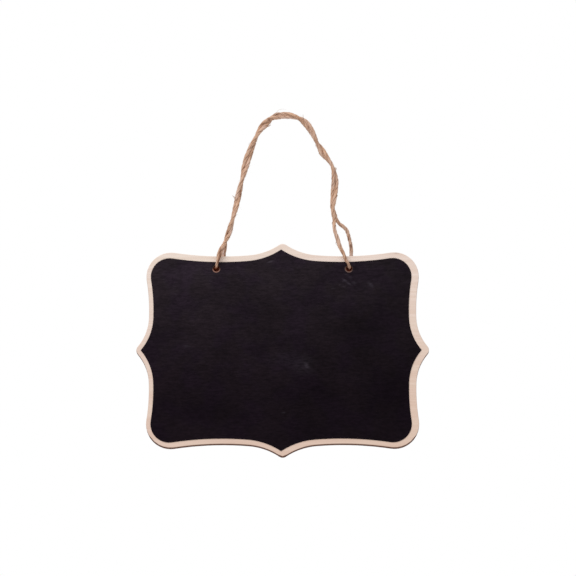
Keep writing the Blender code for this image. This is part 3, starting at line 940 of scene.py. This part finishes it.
def wood(name, front):
    """Bare face ply, with the grain along X, and brown scorched edges where a laser cut it.
    Painted light makes it lighter toward the top and darker toward the bottom and the right,
    and painted shade in scorched colour lies on faces turned down and along the lower edge.
    """
    shade = Shade(name, roughness=0.62, specular=0.2)
    place = shade.coordinates()
    lines = shade.scaled(place, WOOD_LINES)
    lines = shade.noise(lines, detail=5, roughness=0.6, distortion=0.25)
    figure = shade.noise(shade.scaled(place, WOOD_FIGURES), detail=3, distortion=0.8)
    pores = shade.noise(shade.scaled(place, WOOD_PORES), detail=2)
    low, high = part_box("core_ply")
    # painted light from the top left: lighter toward the top, darker toward the bottom and the right
    height = shade.within(shade.parts(place)[2], low.z, high.z)
    along = shade.within(shade.parts(place)[0], low.x, high.x, 0, 0.35)
    along = shade.maths("MULTIPLY", along, shade.maths("MULTIPLY_ADD", height, -0.8, 1.0))
    colour = shade.mixed(height, WOOD_LOW_SHADED, WOOD_HIGH_LIT)
    colour = shade.mixed(along, colour, WOOD_RIGHT_SHADED)
    colour = shade.mixed(shade.within(lines, 0.30, 0.72, 0.34, 0), colour, WOOD_LINE)
    colour = shade.mixed(shade.within(figure, 0.40, 0.75, 0, 0.35), colour, WOOD_FIGURE)
    colour = shade.mixed(shade.within(pores, 0.62, 0.80, 0, 0.30), colour, WOOD_PORE)
    for stain in STAINS:
        colour = shade.mixed(shade.patch(place, *stain), colour, WOOD_STAIN)
    # painted shade: faces turned down take more scorched colour, faces turned up less
    normal = shade.parts(shade.coordinates("Normal"))
    turned = shade.maths("ABSOLUTE", normal[1])
    turned = shade.maths("MULTIPLY_ADD", normal[2], UPWARD_SHARE, turned)
    scorched = shade.noise(shade.scaled(place, SCORCH_BLOTCHES), detail=3)
    scorched = shade.mixed(scorched, SCORCHED_DARK, SCORCHED_PALE)
    colour = shade.mixed(shade.within(turned, *FACE_TURNS), scorched, colour)
    # painted shade in scorched colour along the lower edge of the face
    lower_edge_shade = shade.within(above_lower_edge(shade, place), *LOWER_EDGE_SHADE_RISES, 1.0, 0.0)
    colour = shade.mixed(lower_edge_shade, colour, scorched)
    colour = round_holes(shade, place, colour, front)
    shade.link(colour, "Base Color")
    shade.link(shade.within(lines, 0.2, 0.8, 0.70, 0.55), "Roughness")
    shade.bump(shade.maths("ADD", lines, pores), WOOD_RELIEF)
    return shade.material


# Noise on the core's cut edge
CORE_STREAKS = (900, 160, 900)
CORE_PLIES = (2, 1500, 2)
CORE_RELIEF = 0.0001


def core():
    """The core's cut edge: scorched brown, in plies that differ a little."""
    shade = Shade("scorched_core", roughness=0.8, specular=0.15)
    place = shade.coordinates()
    streaks = shade.noise(shade.scaled(place, CORE_STREAKS), detail=4, roughness=0.6)
    plies = shade.noise(shade.scaled(place, CORE_PLIES), detail=1)
    colour = shade.mixed(shade.within(streaks, 0.3, 0.7), CORE_DARK, CORE_PALE)
    colour = shade.mixed(shade.within(plies, 0.42, 0.60, 0, 0.5), colour, CORE_PLY)
    shade.link(colour, "Base Color")
    shade.bump(streaks, CORE_RELIEF)
    return shade.material


# Noise on the paint, and how much lighter and darker each sort makes it
STROKES = (60, 30, 520)
DABS = (230, 90, 720)
CLOUDS = (26, 10, 40)
SPECKS = (700, 300, 1300)
HUES = (42, 42, 42)
HUES_PLACE = (3, 0, 5)  # moves them to where they lie as seen
STROKE_SWING = 0.12
DAB_SWING = 0.24
CLOUD_SWING = 0.16
SPECK_SWING = 0.08
PAINT_RELIEF = 0.00006

# Rubbed chalk on the field: x and z of its middle, half length, half height, strength and fall
SMUDGES = [
    (0.0529, -0.1391, 0.0044, 0.0010, 0.21, 0.65),
    (0.0500, -0.1382, 0.0016, 0.0009, 0.10, -0.40),
    (0.0586, -0.1398, 0.0022, 0.0012, 0.15, 0.0),
    (0.0538, -0.1340, 0.0034, 0.0010, 0.10, 0.50),
    (0.0560, -0.1362, 0.0018, 0.0008, 0.08, 0.0),
    (0.0474, -0.1411, 0.0016, 0.0010, 0.08, -0.60),
    (0.0506, -0.1428, 0.0020, 0.0008, 0.09, 0.0),
    (0.0412, -0.1442, 0.0020, 0.0008, 0.08, 0.0),
    (0.0722, -0.1414, 0.0030, 0.0016, 0.16, 0.70),
    (0.0198, -0.2085, 0.0028, 0.0017, 0.14, 0.8),
    (0.0172, -0.2090, 0.0100, 0.0075, 0.044, 0.0),
    (0.0060, -0.2030, 0.0190, 0.0070, 0.032, 0.0),
    (-0.0785, -0.1922, 0.0030, 0.0010, 0.12, 0.0),
    (-0.0105, -0.1222, 0.0034, 0.0008, 0.16, -0.30),
    (0.0010, -0.2475, 0.0020, 0.0010, 0.08, 0.0),
    (-0.0720, -0.1330, 0.0200, 0.0080, 0.012, 0.0),
]

# Parts of the field that look darker: x and z of the middle, half length, half height, strength
SHADES = [
    (-0.0473, -0.1520, 0.0240, 0.0240, 0.22),
    (0.0680, -0.1800, 0.0240, 0.0200, 0.34),
    (-0.0205, -0.1970, 0.0100, 0.0080, 0.22),
    (0.0380, -0.2340, 0.0300, 0.0120, 0.24),
    (-0.0560, -0.2440, 0.0420, 0.0150, 0.26),
    (0.0860, -0.2300, 0.0240, 0.0200, 0.20),
    (-0.0200, -0.1620, 0.0260, 0.0090, 0.12),
]


def chalk_paint():
    """Matt black paint, dabbed and rubbed along X, with faint clouds and traces of chalk, and a
    painted sheen that makes it lighter toward the top and darker toward the bottom and right.
    """
    shade = Shade("chalk_paint", roughness=0.9, specular=0.03)
    place = shade.coordinates()
    strokes = shade.noise(shade.scaled(place, STROKES), detail=4, roughness=0.6)
    dabs = shade.noise(shade.scaled(place, DABS), detail=3, roughness=0.6, distortion=0.6)
    clouds = shade.noise(shade.scaled(place, CLOUDS), detail=4, roughness=0.6)
    hues = shade.noise(shade.scaled(place, HUES, HUES_PLACE), detail=2)
    specks = shade.noise(shade.scaled(place, SPECKS), detail=2)
    # painted sheen from the top left: lighter toward the top, darker toward the bottom and the right
    low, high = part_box("chalk_coat")
    span = high.z - low.z
    height = shade.within(shade.parts(place)[2], low.z + span * 0.15, high.z + span / 2)
    along = shade.within(shade.parts(place)[0], low.x, high.x, 0, 0.4)
    colour = shade.mixed(height, PAINT_LOW_SHADED, PAINT_HIGH_SHEEN)
    colour = shade.mixed(along, colour, PAINT_RIGHT_SHADED)
    for darker in SHADES:
        colour = shade.mixed(shade.patch(place, *darker), colour, PAINT_SHADE)
    colour = shade.mixed(shade.within(hues, 0.45, 0.62), colour, PAINT_REDDER, "MULTIPLY")
    colour = shade.mixed(shade.within(hues, 0.40, 0.55, 1, 0), colour, PAINT_YELLOWER, "MULTIPLY")
    for value, swing in (
        (dabs, DAB_SWING),
        (strokes, STROKE_SWING),
        (clouds, CLOUD_SWING),
        (specks, SPECK_SWING),
    ):
        level = shade.within(value, 0.28, 0.72, 1 - swing, 1 + swing)
        colour = shade.mixed(1.0, colour, level, "MULTIPLY")
    dust = shade.within(dabs, 0.35, 0.60, 0.35, 1.0)
    for smudge in SMUDGES:
        mark = shade.maths("MULTIPLY", shade.patch(place, *smudge), dust)
        colour = shade.mixed(mark, colour, CHALK)
    shade.link(colour, "Base Color")
    shade.link(shade.within(strokes, 0.2, 0.8, 0.84, 0.95), "Roughness")
    shade.bump(shade.maths("ADD", strokes, shade.maths("MULTIPLY", dabs, 0.5)), PAINT_RELIEF)
    return shade.material


def dress_board():
    finishes = {
        "front_veneer": wood("bare_wood_front", front=True),
        "back_veneer": wood("bare_wood_back", front=False),
        "core_ply": core(),
        "chalk_coat": chalk_paint(),
    }
    for node, material in finishes.items():
        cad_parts[node].material_slots[0].material = material


# Surroundings


def make_camera():
    camera = bpy.data.objects.new("camera", bpy.data.cameras.new("camera"))
    bpy.context.collection.objects.link(camera)
    lift, turn = CAMERA_ELEVATION, CAMERA_AZIMUTH
    level = math.cos(lift)
    back = Vector((math.sin(turn) * level, -math.cos(turn) * level, math.sin(lift)))
    camera.location = VIEW_MIDDLE + back * CAMERA_DISTANCE
    camera.rotation_mode = "QUATERNION"
    camera.rotation_quaternion = (-back).to_track_quat("-Z", "Y")
    camera.data.sensor_width = SENSOR_WIDTH
    camera.data.lens = SENSOR_WIDTH * CAMERA_DISTANCE / VIEW_WIDTH
    camera.data.clip_end = FARTHEST_SEEN
    bpy.context.scene.camera = camera


def make_world():
    world = bpy.data.worlds.new("studio")
    bpy.context.scene.world = world
    world.use_nodes = True
    tree = world.node_tree
    background = tree.nodes["Background"]
    background.inputs["Color"].default_value = (1, 1, 1, 1)
    rays = tree.nodes.new("ShaderNodeLightPath")
    seen = rays.outputs["Is Camera Ray"]
    for other in ("Is Glossy Ray", "Is Transmission Ray"):
        either = tree.nodes.new("ShaderNodeMath")
        either.operation = "MAXIMUM"
        tree.links.new(seen, either.inputs[0])
        tree.links.new(rays.outputs[other], either.inputs[1])
        seen = either.outputs[0]
    level = tree.nodes.new("ShaderNodeMapRange")
    level.inputs["To Min"].default_value = AMBIENT
    level.inputs["To Max"].default_value = 1.0
    tree.links.new(seen, level.inputs["Value"])
    tree.links.new(level.outputs[0], background.inputs["Strength"])


def make_light():
    lamp = bpy.data.lights.new("key", "AREA")
    lamp.shape = "SQUARE"
    lamp.size = KEY_SIZE
    lamp.energy = KEY_POWER
    obj = bpy.data.objects.new("key", lamp)
    bpy.context.collection.objects.link(obj)
    obj.location = KEY_PLACE
    aim = VIEW_MIDDLE - KEY_PLACE
    obj.rotation_mode = "QUATERNION"
    obj.rotation_quaternion = aim.to_track_quat("-Z", "Y")


def make_floor():
    shade = Shade("floor", roughness=0.9, specular=0.0)
    shade.shader.inputs["Base Color"].default_value = (FLOOR_TONE, FLOOR_TONE, FLOOR_TONE, 1)
    corners = [(-1, -1), (1, -1), (1, 1), (-1, 1)]
    points = [(x * FLOOR_HALF, y * FLOOR_HALF, FLOOR_Z) for x, y in corners]
    floor = add_mesh("floor", points, [(0, 1, 2, 3)], shade.material)


bpy.context.scene.view_settings.view_transform = "Standard"
make_camera()
make_world()
make_light()
make_floor()
make_twine()
dress_board()
